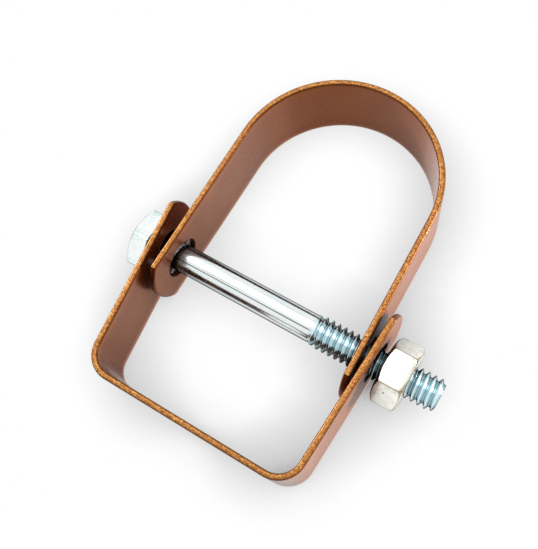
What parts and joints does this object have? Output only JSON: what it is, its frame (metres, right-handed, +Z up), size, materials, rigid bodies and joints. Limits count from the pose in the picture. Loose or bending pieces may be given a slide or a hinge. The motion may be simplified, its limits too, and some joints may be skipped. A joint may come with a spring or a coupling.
{
  "type": "clevis pipe hanger",
  "caption": "Clevis pipe hanger: a folded yoke hung from a rod, a round-bottomed cradle strap that carries the pipe, and a cross bolt with its nut.",
  "frame": {"origin": "centre of the rod hole on the yoke's upper face", "axes": "+Z up along the hanger rod, +Y along the pipe, +X along the cross bolt from its nut towards its head"},
  "size_m": [0.0633, 0.016, 0.0725],
  "materials": {
    "copper_epoxy": "glossy metallic copper epoxy coat",
    "zinc_plate": "bright zinc plate"
  },
  "bodies": {
    "yoke": {"yoke": "copper_epoxy"},
    "cradle": {"cradle": "copper_epoxy"},
    "bolt": {"cross_bolt": "zinc_plate"},
    "nut": {"hex_nut": "zinc_plate"}
  },
  "joints": [
    {"name": "cradle_swing", "type": "hinge", "parent": "yoke", "child": "cradle", "pos_m": [0, 0, -0.027], "axis": [1, 0, 0], "range_deg": [-140, 140]},
    {"name": "bolt_turn", "type": "hinge", "parent": "yoke", "child": "bolt", "pos_m": [0, 0, -0.027], "axis": [1, 0, 0], "range_deg": [-354, 2636]},
    {"name": "nut_run", "type": "slide", "parent": "yoke", "child": "nut", "axis": [1, 0, 0], "range_m": [-0.0093, 0.00125]}
  ],
  "couplings": [
    {"joint": "nut_run", "follows": "bolt_turn", "m_per_rad": -0.00020213}
  ]
}
